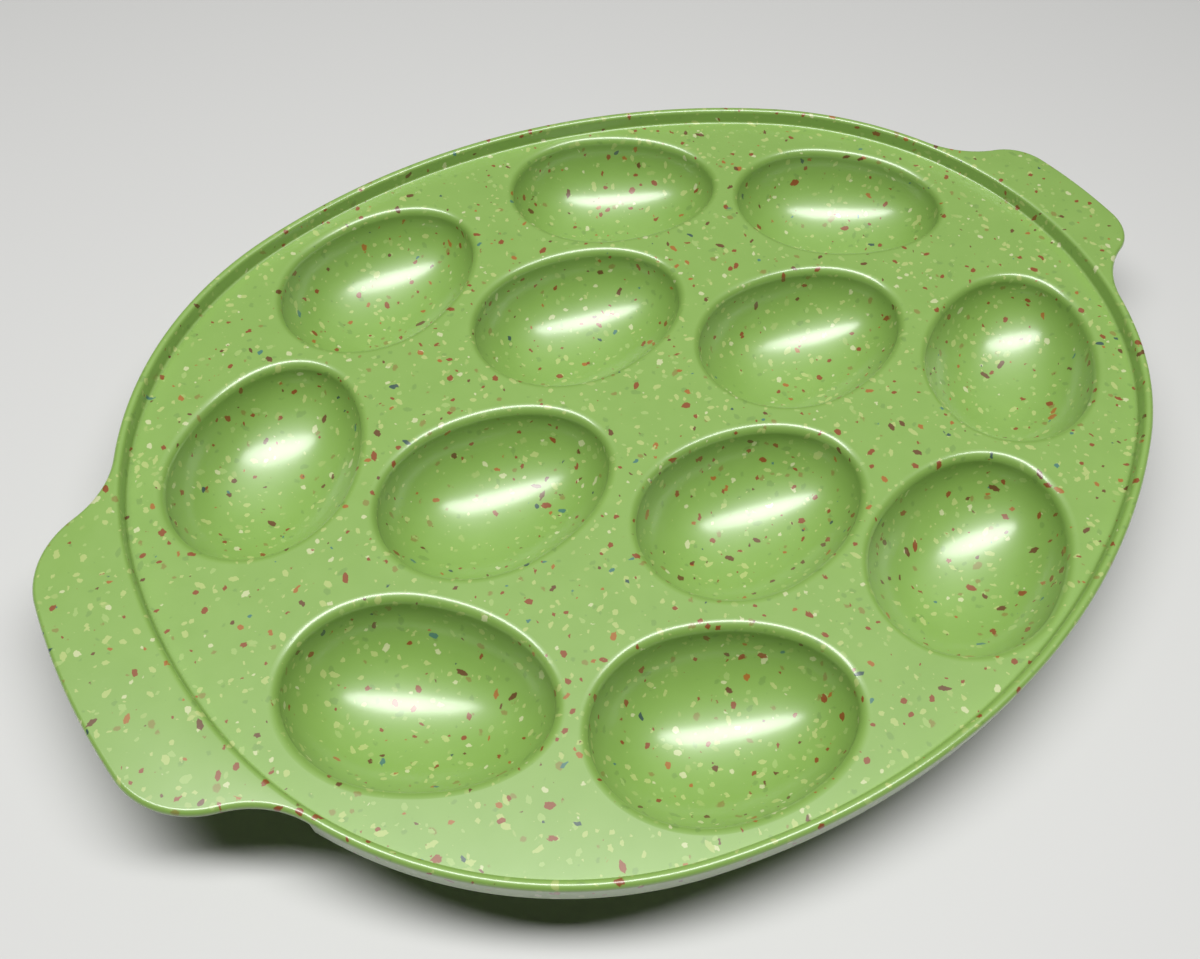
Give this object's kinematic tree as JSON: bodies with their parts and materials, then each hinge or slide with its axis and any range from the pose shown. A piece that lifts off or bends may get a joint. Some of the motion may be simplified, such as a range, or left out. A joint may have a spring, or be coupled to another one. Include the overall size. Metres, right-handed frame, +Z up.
{
  "type": "egg platter",
  "caption": "Egg-shaped serving platter with rounded wells for egg halves, a low rim and a tab handle at each end of its long axis.",
  "frame": {"origin": "centre of the bounding box in plan, on the table plane under the bowls", "axes": "+X along the long axis towards the narrow end, +Y across the platter, +Z up"},
  "size_m": [0.3392, 0.2468, 0.0282],
  "materials": {
    "melamine": "glossy moulded melamine with small coloured flecks in a green ground"
  },
  "bodies": {
    "root": {"deck": "melamine", "rim": "melamine", "blunt_handle": "melamine", "tip_handle": "melamine", "well_01": "melamine", "well_02": "melamine", "well_03": "melamine", "well_04": "melamine", "well_05": "melamine", "well_06": "melamine", "well_07": "melamine", "well_08": "melamine", "well_09": "melamine", "well_10": "melamine", "well_11": "melamine", "well_12": "melamine"}
  },
  "joints": []
}
